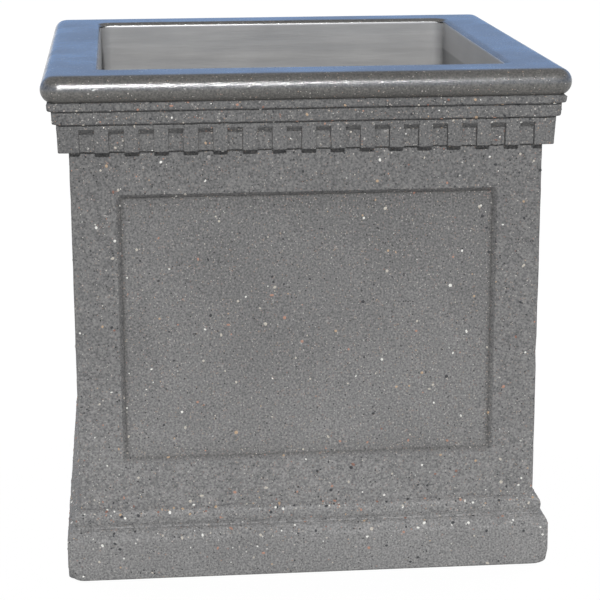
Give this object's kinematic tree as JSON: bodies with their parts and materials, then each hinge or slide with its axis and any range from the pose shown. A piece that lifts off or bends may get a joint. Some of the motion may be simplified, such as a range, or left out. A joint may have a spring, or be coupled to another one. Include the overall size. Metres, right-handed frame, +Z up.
{
  "type": "square concrete planter",
  "caption": "Square exposed-aggregate concrete planter with rounded rim, dentil cornice, sunk side panels and moulded plinth, open at the top and drained through its floor.",
  "frame": {"origin": "middle of the underside", "axes": "+Z up, the pictured front faces -Y, +X to the right of a viewer in front"},
  "size_m": [0.914, 0.914, 0.914],
  "materials": {
    "concrete": "dark grey exposed-aggregate concrete, sealed",
    "sleeve_plastic": "plain pipe",
    "strainer_plastic": "moulded",
    "ferrule_steel": "zinc plated",
    "cage_steel": "mill-scaled reinforcing bar"
  },
  "bodies": {
    "planter": {"planter_shell": "concrete", "drain_sleeve": "sleeve_plastic", "lifting_ferrules": "ferrule_steel", "wall_hoop_1": "cage_steel", "wall_hoop_2": "cage_steel", "wall_hoop_3": "cage_steel", "wall_hoop_4": "cage_steel", "floor_stirrup_1": "cage_steel", "floor_stirrup_2": "cage_steel", "floor_stirrup_3": "cage_steel", "floor_stirrup_4": "cage_steel"},
    "strainer": {"drain_strainer": "strainer_plastic"}
  },
  "joints": [
    {"name": "strainer_lift", "type": "slide", "parent": "planter", "child": "strainer", "axis": [0, 0, 1], "range_m": [0, 0.85]}
  ]
}
